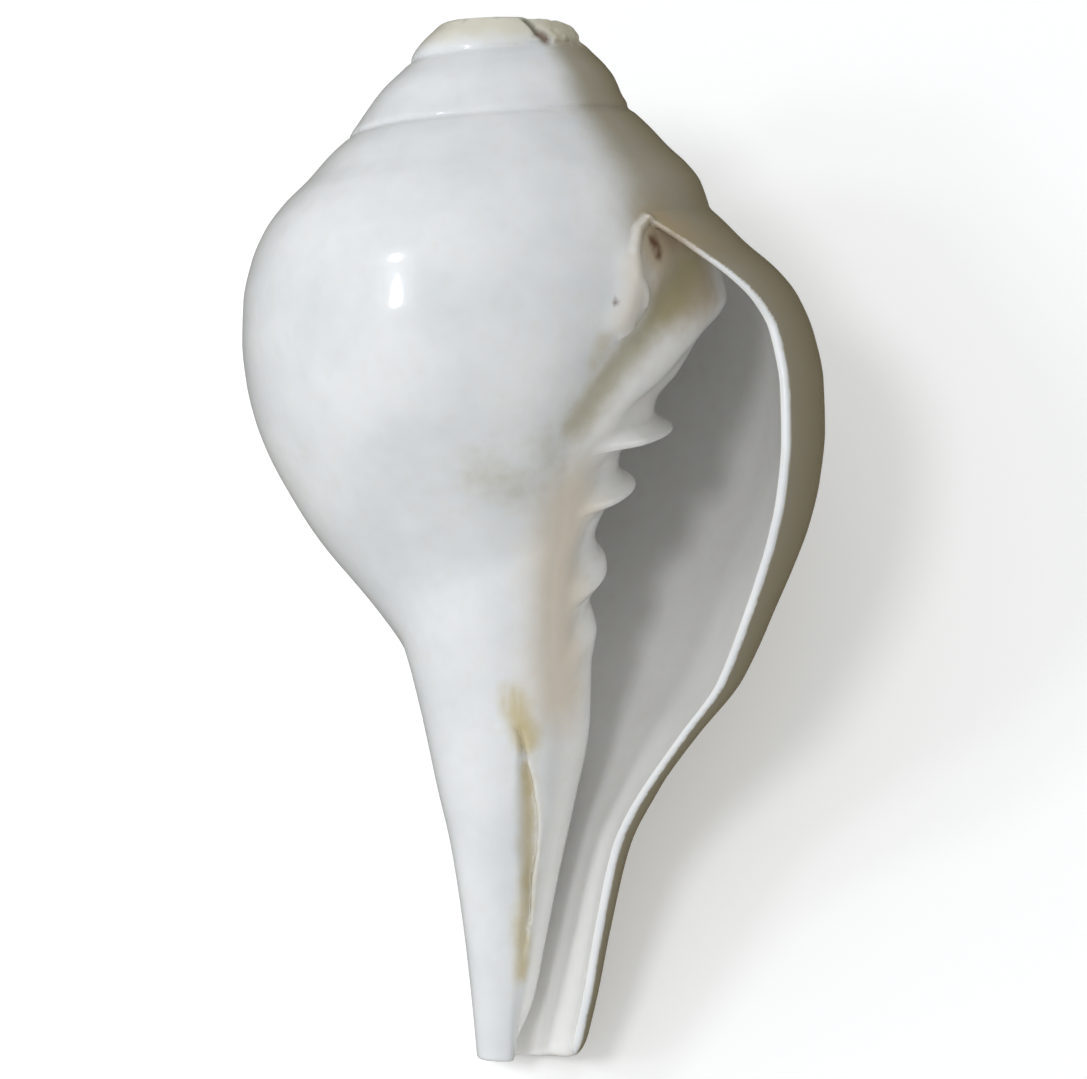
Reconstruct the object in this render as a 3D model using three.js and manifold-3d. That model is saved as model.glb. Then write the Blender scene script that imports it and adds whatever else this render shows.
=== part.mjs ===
import * as THREE from 'three';
import { mergeVertices } from 'three/addons/utils/BufferGeometryUtils.js';
import Module from 'manifold-3d';

const wasm = await Module();
wasm.setup();

const { smoothstep, lerp, clamp, degToRad } = THREE.MathUtils;

// Driving dimensions, in millimetres and degrees.
// A depth is measured down the coiling axis from where the tip of the cut apex would have been.
// A turn is the angle of growth: 0 at the lip, and negative further back in the shell's life.
const CUT_DEPTH = 10.7;
const TIP_DEPTH = 159.1;
const TURN_GROWTH = 1.478;
const LIP_AZIMUTH = -34;
const LIP_HOOK_ADVANCE = 13;
const LIP_EDGE = 1.3;
const LIP_BEVEL_TURN = -40;
const WALL = 3;
const LIP_SIDE_WALL_FACTOR = 1.5;
const EARLY_WALL_FACTOR = 3;
const BLOW_HOLE_RADIUS = 5.2;
const BLOW_HOLE_DEPTH = 21;

// How the shell lies at rest, as a roll about its axis and a tilt of that axis.
const REST_ROLL = -1.5;
const REST_TILT = 21.1;

// Outer half-section of the body whorl at the lip, as depth and radius.
const BODY_PROFILE = [
  [15, 8], [20, 14.5], [27, 22], [33, 27.6], [37.4, 32.2], [42, 36], [46.5, 40.1],
  [51.5, 43.5], [57, 45.8], [64, 47.2], [71, 47.4], [78, 46.7], [84.5, 45.2], [91, 42.7],
  [98, 38.9], [105, 34.4], [112, 28.5], [119, 21], [126, 11], [132, 2]
];
const SHOULDER_SLUMP = 2.9;
const SPIRE_SLIM = 2.6;

// Neck round the canal, as depth and radius: the slim side away from the lip, and the lip side.
const NECK_SLIM = [
  [76, 18], [88, 16.6], [96, 15.4], [104, 13.2], [112, 11.3], [120, 9.6], [128, 7.7],
  [140, 5.5], [150, 3.9], [160, 2.4]
];
const NECK_FULL = [
  [76, 36], [88, 35.5], [96, 35], [104, 33], [112, 27.2], [120, 22.3], [128, 18.2],
  [140, 15.3], [150, 13.3], [160, 10.8]
];
const NECK_START = 60;
const NECK_BLEND = 7;

// Share of the way from the slim side to the lip side, by turn.
const NECK_SHARE = [
  [-400, 0.1], [-360, 0.14], [-303, 0.06], [-213, 0], [-123, 0.44], [-28, 1], [0, 1.15], [60, 1.4]
];

// Inner wall of the aperture, as depth and radius, with the four folds on the pillar.
const INNER_WALL = [
  [36, 30.8], [44, 32.4], [51.4, 32.8], [55.7, 29.8], [62.3, 25.9], [67.6, 22.1], [70.7, 25],
  [72.4, 18.6], [76.2, 17], [79.2, 19.7], [82, 15.5], [86.6, 13.4], [91, 15.4], [96.4, 12.6],
  [100, 13.7], [104, 12.8], [112, 12.2], [122, 10.2], [132, 8], [142, 6], [151, 4.1], [156, 2],
  [160, 0.4]
];
// The same wall with its folds shaved off, which the hollow behind it keeps clear of.
const INNER_CORE = [
  [36, 30.8], [44, 32], [51.4, 31.8], [55.7, 29.2], [62.3, 25], [67.6, 20.6], [72.4, 17.6],
  [76.2, 16.2], [82, 14.6], [86.6, 13], [96.4, 12], [112, 11.4], [132, 8], [160, 0.4]
];
// Below this height the inner wall is the pillar, and above it the turn before.
const PILLAR_HEIGHT = 66;
// The front of the body sinks into the inner wall between these two turns past the lip.
const SINK_FROM = 48;
const SINK_TO = -5;

// The hollow inside, from ahead of the lip back to where the early whorls close.
const HOLLOW_AHEAD = 50;
const HOLLOW_CLOSES = -1260;
const CANAL_OPEN_TURN = -100;
const CANAL_CLOSED_TURN = -160;
const HOLLOW_END_HEIGHT = 118;
const CANAL_OVERRUN = 4;
const HOLLOW_MIN_WIDTH = 0.5;
const FRONT_CLEARANCE = 0.4;

// Meshing steps.
const OUTER_COLUMNS = 56;
const SPIRE_ROWS = 30;
const NECK_ROWS = 12;
const SPIRE_END_DEPTH = 100;
const HOLE_SIDES = 20;

// A smooth curve through points of rising x that never overshoots them.
function curveThrough(points) {
  const last = points.length - 1;
  const secants = points.slice(1).map(([x, y], i) => (y - points[i][1]) / (x - points[i][0]));
  const slopes = points.map((point, i) => {
    if (i === 0) return secants[0];
    if (i === last) return secants[last - 1];
    const before = secants[i - 1];
    const after = secants[i];
    return before * after <= 0 ? 0 : (2 * before * after) / (before + after);
  });
  return (x) => {
    const at = clamp(x, points[0][0], points[last][0]);
    const i = clamp(points.findIndex((point) => point[0] >= at) - 1, 0, last - 1);
    const width = points[i + 1][0] - points[i][0];
    const u = (at - points[i][0]) / width;
    const rise = points[i + 1][1] - points[i][1];
    const bend = u * (1 - u) * ((slopes[i] * width - rise) * (1 - u) - (slopes[i + 1] * width - rise) * u);
    return points[i][1] + rise * u + bend;
  };
}

const bodyCurve = curveThrough(BODY_PROFILE);
const slimNeckCurve = curveThrough(NECK_SLIM);
const fullNeckCurve = curveThrough(NECK_FULL);
const neckShareCurve = curveThrough(NECK_SHARE);
const innerCurve = curveThrough(INNER_WALL);
const innerCoreCurve = curveThrough(INNER_CORE);

function growth(turn) {
  return TURN_GROWTH ** (turn / 360);
}

function smoothMax(a, b, blend) {
  const overlap = Math.max(blend - Math.abs(a - b), 0) / blend;
  return Math.max(a, b) + overlap * overlap * blend / 4;
}

// Outside of one whorl: the same section at every turn, grown larger.
function bodyRadius(turn, depth) {
  const scale = growth(turn);
  const height = depth / scale;
  const shoulder = 1 - smoothstep(height, 38, 52);
  const slump = SHOULDER_SLUMP * smoothstep(turn, -420, 30) * shoulder;
  const slim = SPIRE_SLIM * clamp((-393 - turn) / 360, 0, 1) * smoothstep(height, 40, 48);
  return scale * Math.max(bodyCurve(height - slump) - slim, 0);
}

// The last whorl also carries the neck.
function whorlRadius(turn, depth) {
  const body = bodyRadius(turn, depth);
  if (turn < -360 || depth < NECK_START) return body;
  const neck = lerp(slimNeckCurve(depth), fullNeckCurve(depth), neckShareCurve(turn));
  return smoothMax(body, Math.min(neck, body + NECK_BLEND * 3), NECK_BLEND);
}

// The pillar's part of the inner wall keeps its size down the canal instead of growing.
function innerRadius(turn, depth, curve = innerCurve) {
  const scale = growth(turn);
  const inCanal = smoothstep(turn, -240, -120) * smoothstep(depth / scale, 96, 116);
  const size = lerp(scale, 1, inCanal);
  return size * curve(depth / size);
}

// Outside of the whorl as the next turn leaves it, sunk to the next turn's inner wall.
function surfaceRadius(turn, depth, curve = innerCurve) {
  const own = whorlRadius(turn, depth);
  const ahead = turn + 360;
  if (ahead >= SINK_FROM) return own;
  const wall = innerRadius(ahead, depth, curve);
  const sunk = depth > PILLAR_HEIGHT * growth(ahead) ? wall : Math.min(own, wall);
  return lerp(own, sunk, 1 - smoothstep(ahead, SINK_TO, SINK_FROM));
}

function wallThickness(turn) {
  const lipSide = lerp(1, LIP_SIDE_WALL_FACTOR, smoothstep(turn, -190, -110));
  const early = lerp(EARLY_WALL_FACTOR, lipSide, smoothstep(turn, -1200, -700));
  const inside = WALL * Math.min(growth(turn), 1) * early;
  return lerp(inside, LIP_EDGE, smoothstep(turn, LIP_BEVEL_TURN, 0));
}

function hollowInner(turn, depth) {
  return surfaceRadius(turn - 360, depth) + (turn > 2 ? FRONT_CLEARANCE : 0);
}

function hollowOuter(turn, depth) {
  return surfaceRadius(turn, depth, innerCoreCurve) - wallThickness(turn);
}

function lipTurn(depth) {
  return LIP_HOOK_ADVANCE * (1 - smoothstep(depth, 39, 56));
}

// A point in the shell's own frame: +X to the lip side, +Y to the apex, +Z to the viewer.
function place(turn, depth, radius) {
  const azimuth = degToRad(LIP_AZIMUTH - turn);
  return [radius * Math.cos(azimuth), -depth, -radius * Math.sin(azimuth)];
}

// Closed mesh of rings joined one to the next, with a flat fan on each end.
function solidOfRings(rings) {
  const positions = [];
  const faces = [];
  const sides = rings[0].length;
  for (const ring of rings) {
    for (const point of ring) positions.push(...point);
  }
  for (let r = 0; r < rings.length - 1; r += 1) {
    for (let s = 0; s < sides; s += 1) {
      const a = r * sides + s;
      const b = r * sides + (s + 1) % sides;
      faces.push([a, b, b + sides], [a, b + sides, a + sides]);
    }
  }
  for (const [ring, flip] of [[0, true], [rings.length - 1, false]]) {
    const hub = positions.length / 3;
    const points = rings[ring];
    for (let axis = 0; axis < 3; axis += 1) {
      positions.push(points.reduce((sum, point) => sum + point[axis], 0) / sides);
    }
    for (let s = 0; s < sides; s += 1) {
      const a = ring * sides + s;
      const b = ring * sides + (s + 1) % sides;
      faces.push(flip ? [b, a, hub] : [a, b, hub]);
    }
  }
  return toManifold(positions, faces.flat());
}

function toManifold(positions, indices) {
  const geometry = new THREE.BufferGeometry();
  geometry.setAttribute('position', new THREE.Float32BufferAttribute(positions, 3));
  geometry.setIndex(indices);
  const merged = mergeVertices(geometry, 1e-4);
  const corners = merged.getIndex().array;
  const triangles = [];
  for (let i = 0; i < corners.length; i += 3) {
    const [a, b, c] = corners.slice(i, i + 3);
    if (a !== b && b !== c && c !== a) triangles.push(a, b, c);
  }
  return new wasm.Manifold(new wasm.Mesh({
    numProp: 3,
    vertProperties: new Float32Array(merged.getAttribute('position').array),
    triVerts: new Uint32Array(triangles)
  }));
}

function spread(from, to, steps, law) {
  return Array.from({ length: steps + 1 }, (unused, i) => law(from, to, i / steps));
}

// Everything inside the outer skin, as one filled spindle with the step at the lip.
function makeSpindle() {
  const grow = (from, to, u) => from * (to / from) ** u;
  const spire = spread(CUT_DEPTH, SPIRE_END_DEPTH, SPIRE_ROWS, grow);
  const neck = spread(SPIRE_END_DEPTH, TIP_DEPTH, NECK_ROWS, lerp).slice(1);
  const rings = [...spire, ...neck].map((depth) => {
    const turns = spread(-360, 0, OUTER_COLUMNS, lerp).map((turn) => turn + lipTurn(depth));
    return turns.map((turn) => {
      const radii = [0, 1, 2, 3, 4].map((whorl) => surfaceRadius(turn - 360 * whorl, depth));
      return place(turn, depth, Math.max(...radii));
    });
  });
  return solidOfRings(rings);
}

function widthAt(turn, depth) {
  return hollowOuter(turn, depth) - hollowInner(turn, depth);
}

function hollowTop(turn) {
  const scale = growth(turn);
  let height = 34;
  while (widthAt(turn, height * scale) < HOLLOW_MIN_WIDTH * scale && height < 62) height += 0.25;
  return height * scale;
}

function hollowBottom(turn) {
  const closed = HOLLOW_END_HEIGHT * growth(turn);
  const open = TIP_DEPTH + CANAL_OVERRUN;
  return lerp(closed, open, smoothstep(turn, CANAL_CLOSED_TURN, CANAL_OPEN_TURN));
}

// Sample heights down the inner wall, at the fold tips and the hollows between them.
const INNER_SAMPLES = [
  44, 51.4, 57, 62.3, 67.6, 70.7, 72.4, 76.2, 79.2, 82, 86.6, 91, 96.4, 100, 104, 112, 124, 138, 151
];
const OUTER_SAMPLES = [0.93, 0.82, 0.7, 0.58, 0.47, 0.37, 0.28, 0.2, 0.14, 0.09, 0.05, 0.02];

function hollowRing(turn) {
  const scale = Math.min(growth(turn), 1);
  const top = hollowTop(turn);
  const bottom = hollowBottom(turn);
  const least = 0.6 * scale;
  const count = INNER_SAMPLES.length;
  const innerDepths = INNER_SAMPLES.map((height, i) => {
    const wanted = height < 112 ? height * scale : lerp(112 * scale, bottom, (height - 112) / 47);
    const highest = top + (i + 1) * least;
    const lowest = bottom - (count - i) * least;
    return clamp(wanted, highest, Math.max(lowest, highest));
  });
  const width = (depth) => Math.max(widthAt(turn, depth), HOLLOW_MIN_WIDTH * scale);
  const inner = [top, ...innerDepths].map((depth) => place(turn, depth, hollowInner(turn, depth)));
  const outer = [1, ...OUTER_SAMPLES].map((share) => {
    const depth = lerp(top, bottom, share);
    return place(turn, depth, hollowInner(turn, depth) + width(depth));
  });
  return [...inner, ...outer];
}

// Stations are closest where the aperture shows them.
function turnStep(turn) {
  if (turn > 30) return 10;
  if (turn > -70) return 8;
  return turn > -200 ? 13 : 26;
}

function makeHollow() {
  const turns = [];
  for (let turn = HOLLOW_AHEAD; turn > HOLLOW_CLOSES; turn -= turnStep(turn)) turns.push(turn);
  return solidOfRings(turns.reverse().map(hollowRing));
}

function makeBlowHole() {
  const length = BLOW_HOLE_DEPTH - CUT_DEPTH + 4;
  const hole = new THREE.CylinderGeometry(BLOW_HOLE_RADIUS, BLOW_HOLE_RADIUS, length, HOLE_SIDES);
  hole.translate(0, length / 2 - BLOW_HOLE_DEPTH, 0);
  hole.deleteAttribute('normal');
  hole.deleteAttribute('uv');
  return toManifold(hole.getAttribute('position').array, [...hole.getIndex().array]);
}

function toGeometry(solid) {
  const mesh = solid.getMesh();
  const geometry = new THREE.BufferGeometry();
  geometry.setAttribute('position', new THREE.BufferAttribute(mesh.vertProperties, 3));
  geometry.setIndex(new THREE.BufferAttribute(mesh.triVerts, 1));
  return geometry;
}

function layAtRest(geometry) {
  geometry.rotateY(degToRad(REST_ROLL));
  geometry.rotateX(degToRad(REST_TILT));
  geometry.computeBoundingBox();
  const box = geometry.boundingBox;
  geometry.translate(-(box.min.x + box.max.x) / 2, -(box.min.y + box.max.y) / 2, -box.min.z);
  return geometry;
}

const spindle = makeSpindle();
const hollow = makeHollow();
const blowHole = makeBlowHole();
const shellSolid = spindle.subtract(hollow).subtract(blowHole);
const shellGeometry = layAtRest(toGeometry(shellSolid));
shellGeometry.computeVertexNormals();

const shellMaterial = new THREE.MeshStandardMaterial({ color: '#e1e8ec', roughness: 0.28, metalness: 0 });
const shell = new THREE.Mesh(shellGeometry, shellMaterial);
shell.name = 'shell';

const group = new THREE.Group();
group.add(shell);

export default group;
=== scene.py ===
# %% [markdown]
# A chank shell: the white, polished conch that is blown like a horn. It grew as one piece, a tube
# coiled round an axis and widening as it went. In this lesson the shell is written as one formula
# that says, for any point in space, how far outside or inside the shell it lies. Blender then
# gets the surface where that formula is zero. Sizes are in millimetres until the very end.

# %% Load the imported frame
import math

import bpy
import numpy as np
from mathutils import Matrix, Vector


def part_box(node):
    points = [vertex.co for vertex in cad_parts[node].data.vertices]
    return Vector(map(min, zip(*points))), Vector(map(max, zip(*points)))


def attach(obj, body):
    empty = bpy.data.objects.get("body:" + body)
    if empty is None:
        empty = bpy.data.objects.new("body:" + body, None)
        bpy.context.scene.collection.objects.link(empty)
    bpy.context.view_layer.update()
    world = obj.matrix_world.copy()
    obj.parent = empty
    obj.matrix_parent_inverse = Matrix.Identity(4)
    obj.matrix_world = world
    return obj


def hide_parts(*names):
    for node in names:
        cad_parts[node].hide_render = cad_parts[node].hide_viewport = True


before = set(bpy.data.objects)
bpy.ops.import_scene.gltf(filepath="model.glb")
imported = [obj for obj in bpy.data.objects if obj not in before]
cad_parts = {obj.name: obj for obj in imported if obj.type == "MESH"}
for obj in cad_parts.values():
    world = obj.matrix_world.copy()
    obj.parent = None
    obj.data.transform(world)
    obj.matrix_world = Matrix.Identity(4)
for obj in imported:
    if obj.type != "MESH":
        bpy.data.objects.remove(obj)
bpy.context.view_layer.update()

import openvdb
from mathutils import Matrix, Vector

MM = 0.001
NODE = "shell"

# %% [markdown]
# The shell has a frame of its own: x points to the lip side, depth runs down the coiling axis
# from where the apex used to be, and z points to whoever looks into the mouth. A turn is an angle
# of growth, 0 at the lip and -360 one whorl earlier. Every whorl has the same outline, only
# smaller, which is why a shell can be written with a handful of curves.

# %% Driving dimensions
CUT_DEPTH = 10.7
TIP_DEPTH = 159.1
TURN_GROWTH = 1.478
LIP_AZIMUTH = -34.0
LIP_HOOK_ADVANCE = 13.0
LIP_TIP_ADVANCE = 5.5
LIP_EDGE = 1.6
WALL = 3.0
BLOW_HOLE_RADIUS = 5.2
BLOW_HOLE_DEPTH = 21.0
REST_ROLL = -1.5
REST_TILT = 21.1

# Outlines as (depth, radius) at the lip.
BODY_PROFILE = [
    (15, 8), (20, 14.5), (27, 22), (33, 27.6), (37.4, 32.2), (42, 36), (46.5, 40.1), (51.5, 43.5),
    (57, 45.8), (64, 47.2), (71, 47.4), (78, 46.7), (84.5, 45.2), (91, 42.7), (98, 38.9),
    (105, 34.4), (112, 28.5), (119, 21), (126, 11), (132, 2),
]
NECK_SLIM = [
    (76, 18), (88, 16.6), (96, 15.4), (104, 13.2), (112, 11.3), (120, 9.6), (128, 7.7),
    (140, 5.5), (150, 3.9), (160, 2.4),
]
NECK_FULL = [
    (76, 36), (88, 35.5), (96, 35), (104, 33), (112, 27.2), (120, 22.3), (128, 18.2),
    (140, 15.3), (150, 13.3), (160, 10.8),
]
# Share of the way from the slim neck to the full one, as (turn, share).
NECK_SHARE = [
    (-400, 0.1), (-360, 0.14), (-303, 0.06), (-213, 0), (-123, 0.44), (-28, 1), (0, 1.15), (60, 1.4),
]
# Inner wall of the mouth. The four bumps are the folds on the pillar, thin and sharp.
INNER_WALL = [
    (36, 30.8), (44, 32.4), (51.4, 32.8), (55.7, 29.8), (62.3, 25.9), (66.5, 22.6), (68.4, 22.3),
    (69.8, 23.6), (70.6, 25.1), (71.2, 24.6), (71.6, 21.4), (72.4, 18.9), (74.2, 17.3),
    (76.4, 17), (78, 17.9), (79, 19.6), (79.5, 19.3), (80.4, 16.9), (82.4, 15), (86.6, 13.5),
    (88.8, 14), (90.4, 15.2), (91.6, 15.3), (93.6, 13.6), (96.4, 12.7), (98.6, 13.3), (100, 13.7),
    (102, 13.3), (104, 12.8), (112, 12.2), (122, 10.2), (132, 8), (142, 6), (151, 4.1),
    (156, 2), (160, 0.4),
]
# The same wall without its folds, which bounds the hollow one turn further in.
INNER_CORE = [
    (36, 30.8), (44, 32), (51.4, 31.8), (55.7, 29.2), (62.3, 25), (67.6, 20.6), (72.4, 17.6),
    (76.2, 16.2), (82, 14.6), (86.6, 13), (96.4, 12), (112, 11.4), (132, 8), (160, 0.4),
]
print("shell length down its axis in mm:", round(TIP_DEPTH - CUT_DEPTH, 1))

# %% [markdown]
# Each outline is a smooth curve through a few points. It is looked up for millions of places, so
# it is worked out once as a fine table and then read by position. The slope at each point is the
# harmonic mean of the slopes on its two sides, which keeps the curve from overshooting.

# %% Curves and soft joins
TABLE_STEPS = 3000


def curve_through(points):
    xs, ys = np.array(points, float).T
    widths = np.diff(xs)
    secants = np.diff(ys) / widths
    before, after = secants[:-1], secants[1:]
    total = np.where(before + after == 0, 1, before + after)
    inner = np.where(before * after > 0, 2 * before * after / total, 0)
    slopes = np.concatenate([secants[:1], inner, secants[-1:]])
    at = np.linspace(xs[0], xs[-1], TABLE_STEPS)
    i = np.clip(np.searchsorted(xs, at) - 1, 0, len(xs) - 2)
    u = (at - xs[i]) / widths[i]
    rise = ys[i + 1] - ys[i]
    bend = (slopes[i] * widths[i] - rise) * (1 - u) - (slopes[i + 1] * widths[i] - rise) * u
    table = (ys[i] + rise * u + u * (1 - u) * bend).astype(np.float32)
    start = np.float32(xs[0])
    per_step = np.float32((TABLE_STEPS - 1) / (xs[-1] - xs[0]))

    def read(x):
        place = np.clip((x - start) * per_step, 0, TABLE_STEPS - 1.001)
        step = place.astype(np.int32)
        part = place - step
        return table[step] * (1 - part) + table[step + 1] * part

    return read


def smoothstep(x, low, high):
    u = np.clip((x - low) / (high - low), 0, 1)
    return u * u * (3 - 2 * u)


def soft_max(a, b, blend):
    overlap = np.maximum(blend - np.abs(a - b), 0) / blend
    return np.maximum(a, b) + overlap * overlap * (blend / 4)


def soft_min(a, b, blend):
    return -soft_max(-a, -b, blend)


body_curve = curve_through(BODY_PROFILE)
slim_curve = curve_through(NECK_SLIM)
full_curve = curve_through(NECK_FULL)
share_curve = curve_through(NECK_SHARE)
wall_curve = curve_through(INNER_WALL)
core_curve = curve_through(INNER_CORE)
print("widest radius at the lip in mm:", round(float(body_curve(np.float32(71.0))), 1))

# %% [markdown]
# One whorl at any turn is the body outline scaled by its growth. The last whorl also carries the
# long neck, and where the next turn covers a whorl, its surface sinks to the inner wall of the
# mouth. The CAD model of this part follows the same rules.

# %% Radii of a whorl
# How far each stretch of the coil has slipped down the one before it, as (turn, slip).
SHOULDER_SLIP = [
    (-760, -0.8), (-664, 0.6), (-574, 0), (-480, 0.6), (-394, 1.8), (-304, 1.5), (-250, 1.0),
    (-214, 0.9), (-110, 1.9), (-34, 2.7), (30, 2.9),
]
slip_curve = curve_through(SHOULDER_SLIP)
SPIRE_SLIM = 2.6
NECK_START = 60
NECK_BLEND = 7
PILLAR_HEIGHT = 66
SINK_FROM, SINK_TO = 48, 0
FOLDS_FADE = (2, 24)
CORE_UNDER_WALL = 0.7
CANAL_CLOSED_TURN, CANAL_OPEN_TURN = -160, -100
HOLLOW_END_HEIGHT = 118
CANAL_OVERRUN = 4


def growth(turn):
    return np.exp(np.float32(math.log(TURN_GROWTH) / 360) * turn)


def whorl_radius(turn, depth):
    scale = growth(turn)
    height = depth / scale
    slump = slip_curve(turn) * (1 - smoothstep(height, 38, 52))
    slim = SPIRE_SLIM * np.clip((-393 - turn) / 360, 0, 1) * smoothstep(height, 40, 48)
    body = scale * np.maximum(body_curve(height - slump) - slim, 0)
    share = share_curve(turn)
    neck = slim_curve(depth) * (1 - share) + full_curve(depth) * share
    joined = soft_max(body, np.minimum(neck, body + 3 * NECK_BLEND), NECK_BLEND)
    return np.where((turn < -360) | (depth < NECK_START), body, joined)


def whorl_surfaces(turn, depth):
    """Radius of a whorl's visible surface, and of the same surface with its folds shaved off."""
    own = whorl_radius(turn, depth)
    ahead = np.minimum(turn + 360, SINK_FROM)
    scale = growth(ahead)
    in_canal = smoothstep(ahead, -240, -120) * smoothstep(depth / scale, 96, 116)
    size = scale + (1 - scale) * in_canal
    sinks = 1 - smoothstep(ahead, SINK_TO, SINK_FROM)
    on_pillar = depth > PILLAR_HEIGHT * scale
    fade = smoothstep(ahead, *FOLDS_FADE)
    height = depth / size
    smooth = core_curve(height)
    folded = wall_curve(height) * (1 - fade) + (smooth + CORE_UNDER_WALL) * fade
    found = []
    for wall in (size * folded, size * smooth):
        sunk = np.where(on_pillar, wall, soft_min(own, wall, 2.5))
        found.append(own + (sunk - own) * sinks)
    return found


def wall_thickness(turn):
    """Thick for their size in the early whorls, thicker again near the end, thin at the lip."""
    lip_side = 1 + 0.5 * smoothstep(turn, -190, -110)
    early = 3 + (lip_side - 3) * smoothstep(turn, -1200, -700)
    inside = WALL * np.minimum(growth(turn), 1) * early
    return inside + (LIP_EDGE - inside) * smoothstep(turn, -40, 0)


def lip_turn(depth):
    """The turn where the lip ends. Its upper end reaches forward as a hook."""
    hook = LIP_HOOK_ADVANCE * (1 - smoothstep(depth, 39, 56))
    return hook + LIP_TIP_ADVANCE * (1 - smoothstep(depth, 39.5, 44.5))


def hollow_bottom(turn):
    """Depth where the hollow of a whorl ends: past the tip in the open canal, closed before it."""
    opens = smoothstep(turn, CANAL_CLOSED_TURN, CANAL_OPEN_TURN)
    return HOLLOW_END_HEIGHT * growth(turn) * (1 - opens) + (TIP_DEPTH + CANAL_OVERRUN) * opens


# %% [markdown]
# Details that only this shell has are added to the formula as bumps, grooves and cuts. A bump or
# groove follows a short path of points on the surface and fades with distance from it. The
# apex was cut off to blow the shell, and its edge is chipped. Down the front of the neck runs
# the slit where the growing lip never quite closed over the pillar.

# %% Details on the surface, as points of (x, depth, z)
VALLEY = [
    (25.6, 48.5, 19.4), (24.0, 50.5, 20.8), (21.6, 54.4, 22.6), (18.8, 58, 24), (15.5, 63, 24.4),
    (12.5, 68, 24),
]
RIDGE = [
    (31.2, 49.5, -6), (30.9, 50.4, 4), (28.6, 52.6, 10.5), (24.9, 57, 15.2), (21.6, 61, 17.4),
    (18.8, 65, 19.4), (15.6, 69, 20.4),
]
PAD = [(18.0, 47.5, 27.6), (18.2, 50.5, 27.4), (17.0, 54.6, 27.6)]
HOOK_RIM = [(20.2, 40.6, 25.2), (18.9, 42, 26.4), (18.2, 45.3, 27.4), (18.3, 48.6, 27.6)]
PAD_RIM = [
    (18.3, 48.6, 27.6), (19.9, 50.8, 26.2), (20.4, 53.4, 25.4), (19.4, 55.4, 25.6), (16.7, 56.8, 26.9),
]
CRACK = [(2.6, 10.4, 9.4), (3.4, 11.4, 9.6), (4.7, 12.9, 10.2)]
PIT = [(5.2, 13.1, 10.2), (6.3, 13.8, 9.9)]
# The slit down the neck: its course as (depth, x), and how deep and how wide it is by depth.
FISSURE = [
    (110.6, 1.7), (112.6, 2.8), (115.6, 3.3), (118.5, 4.0), (123.4, 4.7), (126, 4.9), (129, 4.6),
    (131, 4.25), (133.6, 4.05), (137.5, 3.85), (140.1, 3.4), (142.7, 3.0), (145, 2.7),
]
FISSURE_DEPTH = [
    (110.6, 0), (112, 0.9), (116, 1.7), (121, 2.1), (128, 2.2), (134, 1.7), (140, 0.9), (144.5, 0),
]
FISSURE_WIDTH = [
    (110.6, 0.6), (114, 1.0), (118, 2.2), (123, 3.2), (128, 3.2), (132, 2.0), (138, 1.3),
    (144.5, 1.0),
]
FISSURE_MIDDLE, FISSURE_HALF = 127.8, 17.5
# Each raised or sunken form round the mouth as (path, height, width).
RELIEF = [(VALLEY, -1.5, 3.2), (RIDGE, 1.5, 3.6), (PAD, 1.1, 2.3), (PAD_RIM, 0.5, 0.7), (HOOK_RIM, 0.8, 0.7)]
REACH = 9
fissure_x = curve_through(FISSURE)
fissure_depth = curve_through(FISSURE_DEPTH)
fissure_width = curve_through(FISSURE_WIDTH)


def path_distance(path, x, depth, z):
    """Distance from points to a path of straight pieces, worked out only near it."""
    corners = np.array(path, np.float32)
    far = np.full(x.shape, np.float32(REACH))
    near = np.ones(x.shape, bool)
    for axis, values in enumerate((x, depth, z)):
        near &= (values > corners[:, axis].min() - REACH) & (values < corners[:, axis].max() + REACH)
    points = np.stack([x[near], depth[near], z[near]], 1)
    best = np.full(len(points), np.float32(REACH))
    for start, end in zip(corners[:-1], corners[1:]):
        along = end - start
        share = np.clip((points - start) @ along / (along @ along), 0, 1)
        gap = points - start - share[:, None] * along
        best = np.minimum(best, np.sqrt((gap * gap).sum(1)))
    far[near] = best
    return far


def bump(path, height, width, x, depth, z):
    away = path_distance(path, x, depth, z) / width
    return height * np.exp(-away * away)


print("points that shape the details:", sum(map(len, (VALLEY, RIDGE, PAD, HOOK_RIM, PAD_RIM, FISSURE))))

# %% [markdown]
# Chipped and broken shell is rough in no pattern. A lattice of random values, read smoothly between
# its points, gives that. It starts from a fixed seed, so the shell is the same on every run.

# %% A seeded lattice of random values, read smoothly, for chipped surfaces
LATTICE_SIZE = 24
LATTICE_SEED = 11
LATTICE_SHIFT = 100
lattice = np.random.default_rng(LATTICE_SEED).random((LATTICE_SIZE,) * 3, dtype=np.float32)


def rough_noise(x, y, z, spacing):
    cells, parts = [], []
    for values in (x, y, z):
        place = values / spacing + LATTICE_SHIFT
        cell = np.floor(place).astype(np.int32)
        part = place - cell
        cells.append(cell)
        parts.append(part * part * (3 - 2 * part))
    total = 0
    for corner in range(8):
        steps = [(corner >> axis) & 1 for axis in range(3)]
        weight = 1
        for step, part in zip(steps, parts):
            weight = weight * (part if step else 1 - part)
        index = tuple((cell + step) % LATTICE_SIZE for cell, step in zip(cells, steps))
        total = total + weight * lattice[index]
    return total * 2 - 1


print("random values in the lattice:", lattice.size)

# %% [markdown]
# The whole shell. Each whorl is a layer between its visible surface and the room inside it, and
# ends at the lip. The shell is all its whorls together, less the saw cut across the apex, the
# blow hole inside the cut, and the slit down the neck. Soft joins leave every edge a little round.

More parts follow.
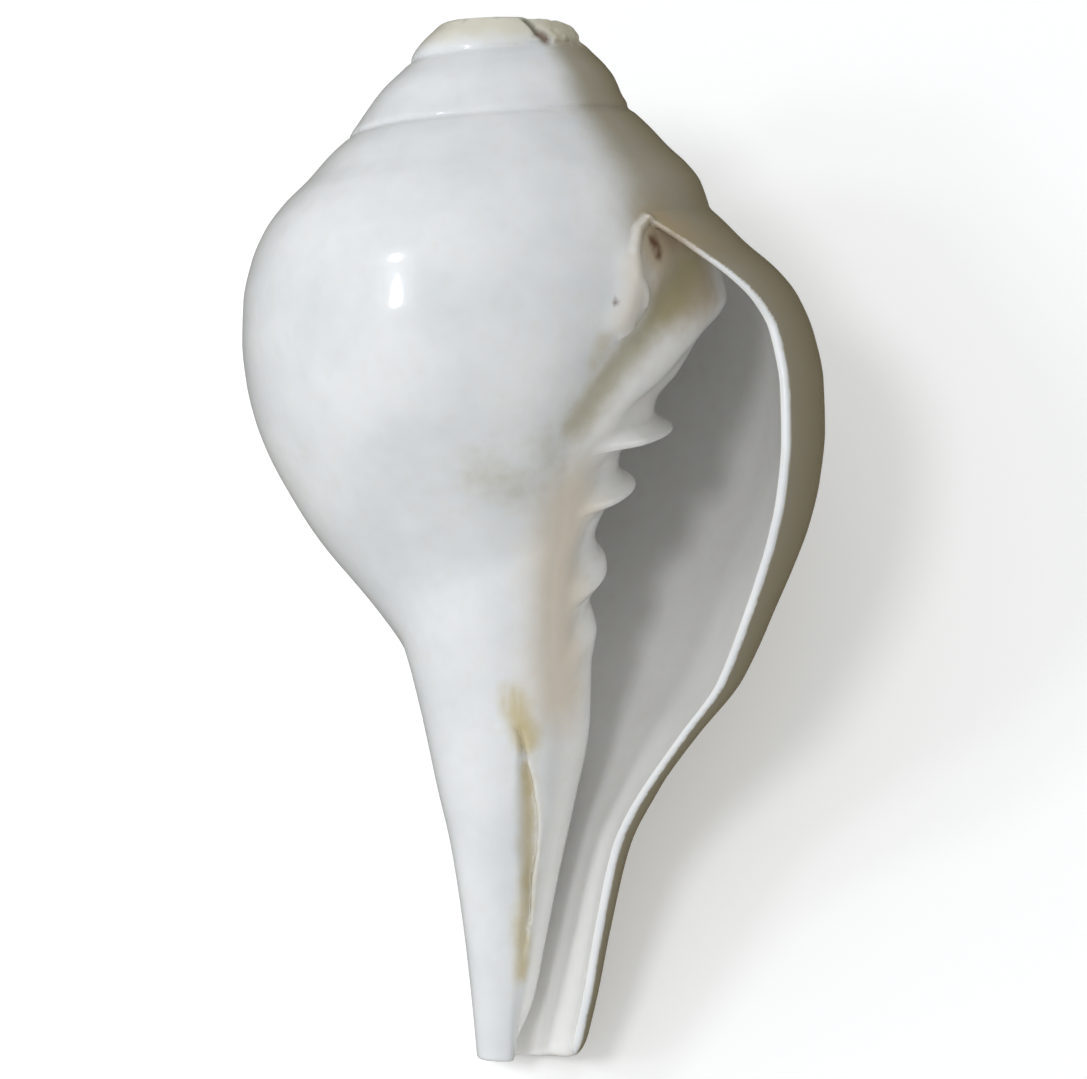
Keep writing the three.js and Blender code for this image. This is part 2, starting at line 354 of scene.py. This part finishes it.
# %% The shell as one formula
WHORLS = range(-1, 5)
DEGREE = np.float32(math.pi / 180)
HOLLOW_CLOSES = -1260
LIP_ROUNDING = 0.9
ROOM_ROUNDING = 2
CUT_ROUNDING = 0.5
HOLE_FLOOR_ROUNDING = 2
HOLE_ROUNDING = 0.8
SLIT_ROUNDING = 0.7
SLIT_FLOOR_ROUNDING = 0.8
GROOVE_WIDTH, GROOVE_DEPTH = 0.25, 0.32
GROOVE_FADE = (28, 36)
SPIRE_JOIN, BODY_JOIN = 0.01, 0.6
TIP_ROUNDING, TIP_CORNER_ROUNDING = 0.7, 3.2
BEVEL_X, BEVEL_DEPTH, BEVEL_Z = -3.3, 12.6, 10.4
CHIP_SIZE, GRIT_SIZE, NICK_SIZE = 1.9, 0.9, 1.7
NICK_HEIGHT = 0.12
SLIT_INSET = 0.35


def shell_field(x, depth, z):
    """Below zero inside the shell's wall, above zero outside it, close to millimetres."""
    radius = np.sqrt(x * x + z * z)
    azimuth = np.degrees(np.arctan2(-z, x))
    at_lip = lip_turn(depth)
    turn = (LIP_AZIMUTH - azimuth - at_lip) % 360 - 360 + at_lip
    turns = [turn - 360 * whorl for whorl in WHORLS]
    surfaces = [whorl_surfaces(t, depth) for t in turns]
    for whorl in (0, 1):
        surfaces[whorl + 1][0] = surfaces[whorl + 1][0] + relief(x, depth, z)
    field = spindle = second = np.float32(99)
    for whorl, t, (surface, core) in zip(WHORLS, turns, surfaces):
        skin = radius - surface
        layer = skin
        if whorl < WHORLS[-1]:
            room = soft_max(radius - core + wall_thickness(t), depth - hollow_bottom(t), ROOM_ROUNDING)
            if whorl == WHORLS[-2]:
                room = np.maximum(room, (HOLLOW_CLOSES - t) * radius * DEGREE)
            layer = soft_max(skin, -room, LIP_ROUNDING)
        if whorl < 1:
            past_lip = (t - at_lip) * radius * DEGREE
            layer = soft_max(layer, past_lip, LIP_ROUNDING)
            skin = np.maximum(skin, past_lip)
        second = np.minimum(np.maximum(skin, spindle), second)
        spindle = np.minimum(spindle, skin)
        field = soft_min(field, layer, SPIRE_JOIN + BODY_JOIN * smoothstep(depth, 40, 50))
    field = field + suture_groove(spindle, second, depth)
    tip_rounding = TIP_ROUNDING + TIP_CORNER_ROUNDING * smoothstep(x, 3, 10)
    field = soft_max(field, depth - TIP_DEPTH, tip_rounding)
    field = soft_max(field, cut_apex(x, depth, z), CUT_ROUNDING)
    blow_hole = soft_max(radius - BLOW_HOLE_RADIUS, depth - BLOW_HOLE_DEPTH, HOLE_FLOOR_ROUNDING)
    field = soft_max(field, -blow_hole, HOLE_ROUNDING)
    field = field - damage(x, depth, z)
    return soft_max(field, -fissure_cut(spindle, x, depth, z), SLIT_ROUNDING)


def suture_groove(spindle, second, depth):
    """A thin groove where one whorl's surface meets the next, on the spire alone."""
    apart = (second - spindle) / GROOVE_WIDTH
    return GROOVE_DEPTH * np.exp(-apart * apart) * (1 - smoothstep(depth, *GROOVE_FADE))


def cut_apex(x, depth, z):
    """The saw cut across the top, its bevel at the front left and the chipped edge on the right."""
    flat = CUT_DEPTH - depth
    bevel = (-(x - BEVEL_X) * 0.25 - (depth - BEVEL_DEPTH) * 0.75 + (z - BEVEL_Z) * 0.6) / 0.99
    past_bevel = smoothstep(x, 2.2, 3.4)
    cut = np.maximum(flat, bevel - 3 * past_bevel)
    chips = smoothstep(x, 2.5, 3.6) * (1 - smoothstep(depth, 13, 16)) * smoothstep(z, -6, 0)
    return cut + chips * (0.25 + 0.35 * rough_noise(x, depth, z, CHIP_SIZE))


def relief(x, depth, z):
    """Raised and sunken forms round the mouth, in millimetres outward."""
    return sum(bump(path, height, width, x, depth, z) for path, height, width in RELIEF)


def damage(x, depth, z):
    """The crack, the pit at its end and the rough broken piece of the apex."""
    crack = bump(CRACK, -0.9, 0.35, x, depth, z) + bump(PIT, -1.1, 0.8, x, depth, z)
    broken = smoothstep(x, 3, 5) * (1 - smoothstep(depth, 13.5, 15.5))
    return crack + 0.16 * broken * rough_noise(x, depth, z, GRIT_SIZE)


def fissure_cut(spindle, x, depth, z):
    """A wedge taken out of the neck: a gentle floor from the left, a steep wall on the right."""
    ragged = NICK_HEIGHT * rough_noise(x * 0, depth, x * 0, NICK_SIZE)
    across = x - fissure_x(depth) - ragged
    deep = fissure_depth(depth) + SLIT_INSET * (fissure_depth(depth) > 0)
    floor = spindle + deep * (1 + across / fissure_width(depth)) - SLIT_INSET
    wedge = soft_max(across, -floor, SLIT_FLOOR_ROUNDING)
    return np.maximum(np.maximum(wedge, np.abs(depth - FISSURE_MIDDLE) - FISSURE_HALF), -z)


# %% [markdown]
# The formula is sampled on a grid, first coarsely everywhere and then finely only where the
# surface can be. A volume grid then turns the samples into a mesh. Sculpting or lofting could
# make the outside, but the mouth, the folds and the hollow whorls behind them fall out of the
# formula with no seams at all.

# %% Sample the formula
COARSE = 1.35
FINE_PER_COARSE = 3
FINE = COARSE / FINE_PER_COARSE
SAMPLE_LOW = np.array([-40.0, 8.5, -41.0])
SAMPLE_HIGH = np.array([46.5, 161.5, 36.5])
SAMPLE_RANGE = 3.0
CHUNK = 400_000


def field_at(points):
    parts = []
    for start in range(0, len(points), CHUNK):
        x, depth, z = points[start:start + CHUNK].astype(np.float32).T
        parts.append(shell_field(x.copy(), depth.copy(), z.copy()))
    return np.concatenate(parts)


def sample_shell():
    """Field on the fine grid, worked out only near the surface, and the place of its first sample."""
    counts = np.ceil((SAMPLE_HIGH - SAMPLE_LOW) / COARSE).astype(int)
    axes = [low + COARSE * np.arange(n) for low, n in zip(SAMPLE_LOW, counts)]
    coarse_points = np.stack(np.meshgrid(*axes, indexing="ij"), -1).reshape(-1, 3)
    coarse = field_at(coarse_points).reshape(counts)
    steepness = np.sqrt(sum(g * g for g in np.gradient(coarse, COARSE)))
    busy = np.abs(coarse) < COARSE * (0.35 + 1.15 * np.clip(steepness, 0.7, 2.5))
    offsets = (np.arange(FINE_PER_COARSE) - (FINE_PER_COARSE - 1) / 2) * FINE
    cells = np.argwhere(busy)
    spots = np.stack(np.meshgrid(offsets, offsets, offsets, indexing="ij"), -1).reshape(1, -1, 3)
    fine_points = (SAMPLE_LOW + COARSE * cells)[:, None, :] + spots
    values = field_at(fine_points.reshape(-1, 3))
    fine = coarse
    for axis in range(3):
        fine = np.repeat(fine, FINE_PER_COARSE, axis)
    steps = np.stack(np.meshgrid(*[np.arange(FINE_PER_COARSE)] * 3, indexing="ij"), -1).reshape(1, -1, 3)
    index = (cells[:, None, :] * FINE_PER_COARSE + steps).reshape(-1, 3)
    fine[index[:, 0], index[:, 1], index[:, 2]] = values
    print("coarse samples:", coarse.size, " fine samples:", len(values))
    return np.clip(fine, -SAMPLE_RANGE, SAMPLE_RANGE), SAMPLE_LOW + offsets[0]


def mesh_from_samples(samples, first):
    """Points and four-sided faces of the surface where the samples are zero."""
    grid = openvdb.FloatGrid(background=SAMPLE_RANGE)
    grid.copyFromArray(samples.astype(np.float32))
    points, triangles, quads = grid.convertToPolygons(isovalue=0.0, adaptivity=0.0)
    return first + points * FINE, quads


def fill_mesh(mesh, points, faces):
    corners = faces.shape[1]
    mesh.vertices.add(len(points))
    mesh.vertices.foreach_set("co", points.astype(np.float32).ravel())
    mesh.loops.add(faces.size)
    mesh.loops.foreach_set("vertex_index", faces.astype(np.int32).ravel())
    mesh.polygons.add(len(faces))
    mesh.polygons.foreach_set("loop_start", np.arange(0, faces.size, corners, dtype=np.int32))
    mesh.update(calc_edges=True)


samples, first_sample = sample_shell()
shell_points, shell_quads = mesh_from_samples(samples, first_sample)
print("fine step in mm:", FINE, " quads:", len(shell_quads))

# %% [markdown]
# The sampled mesh is even and heavy. Decimate merges the faces that lie nearly flat, and then
# each remaining point is moved back onto the exact surface. The slope of the formula there is the
# exact normal, so reflections run smooth however large the triangles are.

# %% Lighten the mesh and fit it to the formula
TRIANGLES = 190_000
FIT_STEPS = 3
FIT_LIMIT = 0.25
SLOPE_STEP = 0.06


def new_object(name, mesh):
    made = bpy.data.objects.new(name, mesh)
    bpy.context.scene.collection.objects.link(made)
    return made


def read_points(mesh):
    points = np.zeros(len(mesh.vertices) * 3, np.float32)
    mesh.vertices.foreach_get("co", points)
    return points.reshape(-1, 3).astype(float)


def field_slope(points):
    slope = np.zeros_like(points)
    for axis in range(3):
        shift = np.zeros(3)
        shift[axis] = SLOPE_STEP
        slope[:, axis] = (field_at(points + shift) - field_at(points - shift)) / (2 * SLOPE_STEP)
    return slope


def lightened(points, quads):
    """A mesh with far fewer faces, merged where the surface is nearly flat."""
    heavy = bpy.data.meshes.new("sampled_shell")
    fill_mesh(heavy, points, quads)
    carrier = new_object("sampled_shell", heavy)
    decimate = carrier.modifiers.new("Decimate", "DECIMATE")
    decimate.ratio = TRIANGLES / (2 * len(quads))
    decimate.use_collapse_triangulate = True
    evaluated = carrier.evaluated_get(bpy.context.evaluated_depsgraph_get())
    light = bpy.data.meshes.new_from_object(evaluated)
    bpy.data.objects.remove(carrier)
    bpy.data.meshes.remove(heavy)
    light.name = "polished_shell"
    return light


def fitted(points):
    """The same points, moved along the slope onto the exact surface."""
    for step in range(FIT_STEPS):
        slope = field_slope(points)
        steep = (slope * slope).sum(1, keepdims=True) + 1e-6
        move = -field_at(points)[:, None] * slope / steep
        length = np.sqrt((move * move).sum(1, keepdims=True)) + 1e-9
        points = points + move * np.minimum(1, FIT_LIMIT / length)
    return points


shell_mesh = lightened(shell_points, shell_quads)
shell_points = fitted(read_points(shell_mesh))
shell_slope = field_slope(shell_points)
shell_normals = shell_slope / (np.sqrt((shell_slope * shell_slope).sum(1, keepdims=True)) + 1e-9)
off = np.abs(field_at(shell_points))
print("triangles:", len(shell_mesh.polygons), " points over 0.05 mm off:", int((off > 0.05).sum()))

# %% [markdown]
# Now the shell is laid down as it rests on a table: on its rounded back and the end of its canal,
# mouth up. The turn and tilt come from the balance of the real weight, worked out for the CAD
# model. The place comes from the frame, by matching boxes.

# %% Lay the shell down
tilted = Matrix.Rotation(math.radians(REST_TILT), 3, "X")
lying = tilted @ Matrix.Rotation(math.radians(REST_ROLL), 3, "Y")
TO_REST = np.array(lying) @ np.diag([1.0, -1.0, 1.0])
node_low, node_high = [np.array(corner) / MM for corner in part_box(NODE)]
turned = shell_points @ TO_REST.T
low, high = turned.min(0), turned.max(0)
offset = (node_low + node_high) / 2 - (low + high) / 2
offset[2] = node_low[2] - low[2]


def at_rest(points):
    """Points of (x, depth, z) in millimetres, as places in metres where the shell lies."""
    return (np.asarray(points, float) @ TO_REST.T + offset) * MM


shell_mesh.vertices.foreach_set("co", at_rest(shell_points).astype(np.float32).ravel())
shell_mesh.update()
print("offset in mm:", offset.round(2), " box of the fine shell in mm:", (high - low).round(1))

# %% [markdown]
# A polished surface shows every flaw of its shading. So the mesh is shaded by the exact slope of
# the formula and not by its triangles. The volume tells whether the faces point outward.

# %% Make every face point outward and shade by the exact normals
rest_normals = shell_normals @ TO_REST.T
shell_mesh.polygons.foreach_set("use_smooth", np.ones(len(shell_mesh.polygons), bool))
faces = np.zeros(len(shell_mesh.polygons) * 3, np.int32)
shell_mesh.polygons.foreach_get("vertices", faces)
a, b, c = (at_rest(shell_points)[faces.reshape(-1, 3)[:, i]] for i in range(3))
volume = np.einsum("ij,ij->", a, np.cross(b, c)) / 6 / MM**3
if volume < 0:
    shell_mesh.flip_normals()
shell_mesh.normals_split_custom_set_from_vertices(rest_normals)
print("volume of the shell's wall in cubic centimetres:", round(abs(volume) / 1000, 1))

shell = new_object("polished_shell", shell_mesh)

# %% [markdown]
# Colour on this shell is mostly light: white, with a few stains. Each of them is written into the
# mesh as a number at every point, strongest on a spot or path and fading away from it. Painted
# shade on the outer side turned away from the lamps and in the valley inside the mouth, and a
# paler painted inside that stands in for bounced light, are written the same way. The material
# mixes its colours by these numbers and breaks up their edges with noise.

# %% Stain masks, with painted shade and painted bounce light
def spot(path, width):
    """1 on the path, fading to 0 with distance from it."""
    away = path_distance(path, *shell_points.astype(np.float32).T) / width
    return np.exp(-away * away)


x, depth, z = shell_points.T
azimuth = np.degrees(np.arctan2(-z, x))
radius = np.hypot(x, z)
at_lip = lip_turn(depth)
past_lip = (LIP_AZIMUTH - azimuth - at_lip) % 360
outline = whorl_radius((past_lip - 360 + at_lip).astype(np.float32), depth.astype(np.float32))
outside = smoothstep(radius - outline, -1.6, -0.5)
near_mouth = (1 - smoothstep(past_lip, 0, 30)) * smoothstep(depth, 40, 46)
# Painted shade: the outer side turned away from the lamps is darkened in colour by azimuth, sparing the lip
# face and the front below the hook.
shaded = 0.75 * smoothstep(azimuth, -72, -46) + 0.25 * smoothstep(azimuth, -46, 0)
far_side = 1 - smoothstep(azimuth, 50, 120)
in_front = smoothstep(depth, 40, 46) * (past_lip < 90)
around = np.radians(azimuth)
along = shell_normals[:, 0] * np.sin(around) + shell_normals[:, 2] * np.cos(around)
lip_face = smoothstep(along, 0.05, 0.35)
print("share of points on the outside:", round(float(np.mean(outside)), 2))
masks = {
    "stain_yellow": np.maximum.reduce([
        spot([(1.2, 106.5, 13.3), (2.4, 110, 13.0), (3.4, 113, 11.8)], 2.3),
        0.85 * spot([(2.9, 141, 5.6), (2.7, 146.5, 4.8)], 1.7),
        0.8 * spot([(3.2, 117, 9.8), (3.7, 124, 8.2), (3.4, 131, 6.6), (2.6, 141, 5.8)], 1.9),
        0.55 * spot([(13.8, 57.6, 28.4), (12.8, 60.5, 27.8)], 2.0),
    ]),
    "stain_olive": np.maximum.reduce([
        # Olive tint and painted shade down the valley inside the mouth; the two spots below are olive
        # stains.
        spot([(27, 46, 17), (21.6, 54.4, 22.6), (15.5, 62, 24.6), (11, 69, 24.4)], 3.6),
        0.5 * spot([(-2.6, 75.5, 24.6), (2.2, 77.5, 23.3)], 4.6),
        0.4 * spot([(5.5, 71, 25.2), (8, 75, 23)], 4.0),
    ]),
    "stain_cream": np.maximum.reduce([
        0.9 * spot([(9.8, 79.1, 17.2), (8.6, 87.5, 14.8), (8.4, 98.7, 12.6), (8.4, 106, 10.6)], 7.4),
        0.7 * spot(PAD, 3.0),
    ]),
    "stain_tan": spot([(21.5, 44, 23), (24.5, 46.5, 20), (27.5, 48.5, 15), (23, 50, 21)], 6.5),
    "stain_brown": np.maximum.reduce([
        spot([(20.6, 43.4, 24.6), (21.2, 45.4, 23.6)], 1.3),
        0.75 * spot([(15.3, 51.8, 29.3), (15.4, 52.6, 29.2)], 0.7),
        0.5 * spot([(2.2, 111, 12.8), (3.4, 115.5, 11.0)], 0.7),
        spot(PIT, 1.15),
    ]),
    "crack_green": spot(CRACK, 0.8),
    "broken": smoothstep(x, 2.8, 4) * (1 - smoothstep(depth, 12.5, 14.5)) * (z > -8),
    "apex_cream": 1 - smoothstep(depth, 11, 17),
    # Painted shade on the outer side turned away from the lamps.
    "shade_side": outside * shaded * far_side * (1 - in_front) * (1 - lip_face),
    # Painted bounce light: the inside of the shell is made paler, standing in for light bounced round the
    # mouth.
    "inside": np.maximum(1 - outside, near_mouth),
    "turn_angle": (LIP_AZIMUTH - azimuth) / 360,
}
for name, values in masks.items():
    layer = shell_mesh.attributes.new(name, "FLOAT", "POINT")
    layer.data.foreach_set("value", np.asarray(values, np.float32))
    print(name, "mean", round(float(np.mean(values)), 3))

# %% [markdown]
# Materials. Colours are chosen as sRGB hex values, as in any paint program, and turned linear by
# one function. One more function adds a shader node with its settings and links, so that each
# material reads as a short recipe.

# %% Colour and node helpers
def linear(code):
    channels = [int(code[i:i + 2], 16) / 255 for i in (1, 3, 5)]
    return [c / 12.92 if c <= 0.04045 else ((c + 0.055) / 1.055) ** 2.4 for c in channels] + [1.0]


def add_node(tree, kind, settings=None, **inputs):
    """One node. Settings are its own properties; inputs are values, or (node, output) links."""
    node = tree.nodes.new(kind)
    for name, value in (settings or {}).items():
        setattr(node, name, value)
    for name, value in inputs.items():
        key = int(name[1:]) if name[0] == "i" and name[1:].isdigit() else name.replace("_", " ")
        socket = node.inputs[key]
        if isinstance(value, tuple) and isinstance(value[0], bpy.types.Node):
            tree.links.new(value[0].outputs[value[1]], socket)
        else:
            socket.default_value = value
    return node


def new_material(name):
    material = bpy.data.materials.new(name)
    material.use_nodes = True
    material.node_tree.nodes.clear()
    return material, material.node_tree


# %% [markdown]
# Porcelaneous aragonite, ground and polished: the lime that molluscs lay down, fused like china.
# It gives a cool white with a clear, tight gloss and a little depth under it. Its typical IOR is
# about 1.53. Growth lines run parallel to the lip, about two millimetres apart, and polishing has
# left them as the faintest streaks. The grain under the polish is finer than a render can show,
# so it is drawn at half a millimetre. The outer side turned away from the lamps gets a painted
# olive shade, and the inside gets a paler painted white that stands in for bounced light.

# %% The shell's material
WHITE = linear("#E9ECEE")
COOL_GREY = linear("#D9DEE2")
WARM_WHITE = linear("#E6E3D8")
CREAM = linear("#DECDB2")
YELLOW = linear("#C6B478")
OLIVE = linear("#A39A6E")
BROWN = linear("#5A3216")
GREEN = linear("#4C5238")
BROKEN = linear("#D8D3BC")
TAN = linear("#B09C78")
# Painted bounce light: a paler white for the inside of the shell.
PAINTED_BOUNCE_WHITE = linear("#F6F6F4")
# Painted shade: an olive-tinted dark colour for the side turned away from the lamps.
PAINTED_SHADE = linear("#867B58")
CLOUD_SIZE = 14 * MM
MOTTLE_SIZE = 2.2 * MM
GROWTH_LINES_PER_TURN = 130
GRAIN_SIZE = 0.5 * MM


def make_aragonite():
    material, tree = new_material("porcelaneous_aragonite_polished")
    place = add_node(tree, "ShaderNodeTexCoord")
    clouds, mottle, grain = [
        add_node(tree, "ShaderNodeTexNoise", Vector=(place, "Object"), Scale=1 / size, Detail=detail)
        for size, detail in ((CLOUD_SIZE, 4.0), (MOTTLE_SIZE, 5.0), (GRAIN_SIZE, 3.0))
    ]

    def mask(name, low=0.15, high=0.85, spread=0.5):
        """A mask read from the mesh, for stains, painted shade and painted bounce light, its edge broken up
        by the mottle.
        """
        layer = add_node(tree, "ShaderNodeAttribute", {"attribute_name": name})
        shifted = add_node(tree, "ShaderNodeMath", {"operation": "MULTIPLY_ADD"},
                           i0=(mottle, 0), i1=spread, i2=-spread / 2)
        summed = add_node(tree, "ShaderNodeMath", {"operation": "ADD"}, i0=(layer, "Fac"), i1=(shifted, 0))
        ranged = add_node(tree, "ShaderNodeMapRange", {"interpolation_type": "SMOOTHSTEP"},
                          Value=(summed, 0), From_Min=low, From_Max=high)
        return ranged, 0

    # Mixes a colour in by a mask: used for stains and growth lines, and also for painted shade and painted
    # bounce light.
    def stain(under, colour, amount, strength):
        scaled = add_node(tree, "ShaderNodeMath", {"operation": "MULTIPLY"}, i0=amount, i1=strength)
        mixed = add_node(tree, "ShaderNodeMix", {"data_type": "RGBA"}, i0=(scaled, 0), i6=under, i7=colour)
        return mixed, 2

    turn = add_node(tree, "ShaderNodeAttribute", {"attribute_name": "turn_angle"})
    lines = add_node(tree, "ShaderNodeTexNoise", {"noise_dimensions": "1D"}, W=(turn, "Fac"),
                     Scale=float(GROWTH_LINES_PER_TURN), Detail=3.0)
    cloud_amount = add_node(tree, "ShaderNodeMapRange", Value=(clouds, 0), From_Min=0.35, From_Max=0.7)
    base = add_node(tree, "ShaderNodeMix", {"data_type": "RGBA"},
                    i0=(cloud_amount, 0), i6=WHITE, i7=COOL_GREY)
    colour = (base, 2)
    colour = stain(colour, WARM_WHITE, (lines, 0), 0.18)
    # Painted shade darkens the outer side turned away from the lamps.
    colour = stain(colour, PAINTED_SHADE, mask("shade_side", 0.05, 1.0, 0.1), 0.92)
    # Painted bounce light: lightens the inside of the shell.
    colour = stain(colour, PAINTED_BOUNCE_WHITE, mask("inside", 0.2, 0.9, 0.2), 0.9)
    colour = stain(colour, BROKEN, mask("apex_cream", 0.1, 0.9, 0.4), 0.75)
    colour = stain(colour, CREAM, mask("stain_cream", 0.0, 1.1, 0.2), 0.75)
    colour = stain(colour, TAN, mask("stain_tan", 0.1, 1.0, 0.3), 0.85)
    # Olive stains, with painted shade in the valley inside the mouth.
    colour = stain(colour, OLIVE, mask("stain_olive", 0.05, 1.1, 0.3), 0.75)
    colour = stain(colour, YELLOW, mask("stain_yellow", 0.1, 1.1, 0.35), 0.8)
    colour = stain(colour, GREEN, mask("crack_green", 0.3, 0.9, 0.5), 0.85)
    colour = stain(colour, BROWN, mask("stain_brown", 0.25, 0.95, 0.4), 0.9)
    rough_mask = mask("broken", 0.3, 0.7, 0.3)
    roughness = add_node(tree, "ShaderNodeMapRange", Value=rough_mask, To_Min=0.27, To_Max=0.62)
    line_height = add_node(tree, "ShaderNodeBump", Strength=0.05, Distance=0.3 * MM, Height=(lines, 0))
    surface = add_node(tree, "ShaderNodeBump", Strength=0.06, Distance=0.12 * MM, Height=(grain, 0),
                       Normal=(line_height, 0))
    shader = add_node(tree, "ShaderNodeBsdfPrincipled", Base_Color=colour, Roughness=(roughness, 0),
                      IOR=1.53, Coat_Weight=0.45, Coat_Roughness=0.07, Subsurface_Weight=0.18,
                      Subsurface_Scale=1.6 * MM, Normal=(surface, 0))
    shader.inputs["Subsurface Radius"].default_value = (1.0, 0.85, 0.7)
    add_node(tree, "ShaderNodeOutputMaterial", Surface=(shader, 0))
    return material


shell_mesh.materials.clear()
shell_mesh.materials.append(make_aragonite())
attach(shell, "root")
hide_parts(NODE)
print("nodes in the shell's material:", len(shell_mesh.materials[0].node_tree.nodes))

# %% [markdown]
# The shell lies on a flat sheet of matte white card. A polished shell mirrors the card as well, and
# that would wash out its edges, so the card is hidden from reflections and the darker room shows
# there instead.

# %% Floor
FLOOR_SIZE = 6.0
FIBRE_SIZE = 0.8 * MM


def make_card():
    material, tree = new_material("matte_white_card")
    place = add_node(tree, "ShaderNodeTexCoord")
    fibres = add_node(tree, "ShaderNodeTexNoise", Vector=(place, "Object"),
                      Scale=1 / FIBRE_SIZE, Detail=3.0)
    relief_node = add_node(tree, "ShaderNodeBump", Strength=0.05, Distance=0.05 * MM, Height=(fibres, 0))
    shader = add_node(tree, "ShaderNodeBsdfPrincipled", Base_Color=linear("#F6F6F5"), Roughness=0.9,
                      Emission_Color=linear("#FFFFFF"), Emission_Strength=0.22, Normal=(relief_node, 0))
    add_node(tree, "ShaderNodeOutputMaterial", Surface=(shader, 0))
    return material


floor_mesh = bpy.data.meshes.new("card_floor")
half = FLOOR_SIZE / 2
floor_corners = [(-half, -half, 0), (half, -half, 0), (half, half, 0), (-half, half, 0)]
floor_mesh.from_pydata(floor_corners, [], [(0, 1, 2, 3)])
floor = new_object("card_floor", floor_mesh)
floor_mesh.materials.append(make_card())
floor.visible_glossy = False
print("side of the floor in metres:", FLOOR_SIZE)

# %% [markdown]
# The camera looks straight into the mouth, from a little over half a metre, which is how the
# photograph was taken. Its lens follows from the width of the picture and the size of a pixel.

# %% Camera, straight above the mouth of the shell
PHOTO_WIDTH_PX = 1087
MM_PER_PX = 150 / 1045
CAMERA_DISTANCE = 570
VIEW_CENTRE = (5.67, 84.6, 0)


def direction(x, up, towards):
    """A direction given as the photograph shows it: right, up and towards the viewer."""
    return Vector(TO_REST @ np.array([x, -up, towards])).normalized()


def aim(thing, look, top):
    """Turns a camera or lamp so that it looks along look with top upward."""
    side = look.cross(top).normalized()
    thing.rotation_euler = Matrix((side, side.cross(look), -look)).transposed().to_euler()


centre = Vector(at_rest([VIEW_CENTRE])[0])
towards = direction(0, 0, 1)
camera = bpy.data.objects.new("camera", bpy.data.cameras.new("camera"))
bpy.context.scene.collection.objects.link(camera)
camera.data.sensor_width = 36
camera.data.lens = 36 * CAMERA_DISTANCE / (PHOTO_WIDTH_PX * MM_PER_PX)
camera.location = centre + towards * CAMERA_DISTANCE * MM
aim(camera, -towards, direction(0, 1, 0))
bpy.context.scene.camera = camera
print("lens in mm:", round(camera.data.lens, 1), " camera height in mm:", round(camera.location.z / MM))

# %% [markdown]
# Two small lamps to the left make the highlight in two parts. Most of the light comes from a third
# one, close to the camera and a little to its left, which throws the pillar's shadow into the
# mouth. It is hidden from reflections. The room is light above and dark and warm low on the right.

# %% Lamps and surrounding light
def add_window(name, way, distance, width, height, power, colour):
    lamp = bpy.data.lights.new(name, "AREA")
    lamp.shape = "ELLIPSE"
    lamp.size, lamp.size_y = width, height
    lamp.energy = power
    lamp.color = linear(colour)[:3]
    holder = bpy.data.objects.new(name, lamp)
    bpy.context.scene.collection.objects.link(holder)
    holder.location = centre + way * distance
    aim(holder, -way, direction(0, 1, 0))
    return holder


add_window("upper_window", direction(-0.68, 0.3, 0.67), distance=1.3,
           width=0.15, height=0.19, power=1.4, colour="#F4F8FF")
add_window("lower_window", direction(-0.68, 0.08, 0.73), distance=1.3,
           width=0.14, height=0.21, power=1.4, colour="#F4F8FF")
soft_front = add_window("soft_front", direction(-0.32, 0.18, 0.93), distance=1.6,
                        width=0.3, height=0.3, power=5.4, colour="#FAFBFF")
soft_front.visible_glossy = False
world = bpy.data.worlds.new("room")
bpy.context.scene.world = world
world.use_nodes = True
world.node_tree.nodes.clear()
room_way = add_node(world.node_tree, "ShaderNodeTexCoord")
room_bright = add_node(world.node_tree, "ShaderNodeVectorMath", {"operation": "DOT_PRODUCT"},
                       i0=(room_way, "Generated"), i1=(-0.45, 0.1, 0.89))
to_bright = add_node(world.node_tree, "ShaderNodeMapRange", {"interpolation_type": "SMOOTHSTEP"},
                     Value=(room_bright, "Value"), From_Min=-0.5, From_Max=0.95)
room_colour = add_node(world.node_tree, "ShaderNodeMix", {"data_type": "RGBA"}, i0=(to_bright, 0),
                       i6=linear("#5E5745"), i7=linear("#E8EAEC"))
sky = add_node(world.node_tree, "ShaderNodeBackground", Color=(room_colour, 2), Strength=0.9)
add_node(world.node_tree, "ShaderNodeOutputWorld", Surface=(sky, 0))
bpy.context.scene.view_settings.view_transform = "Standard"
lamp_names = [thing.name for thing in bpy.context.scene.objects if thing.type == "LIGHT"]
print("lamps:", lamp_names)
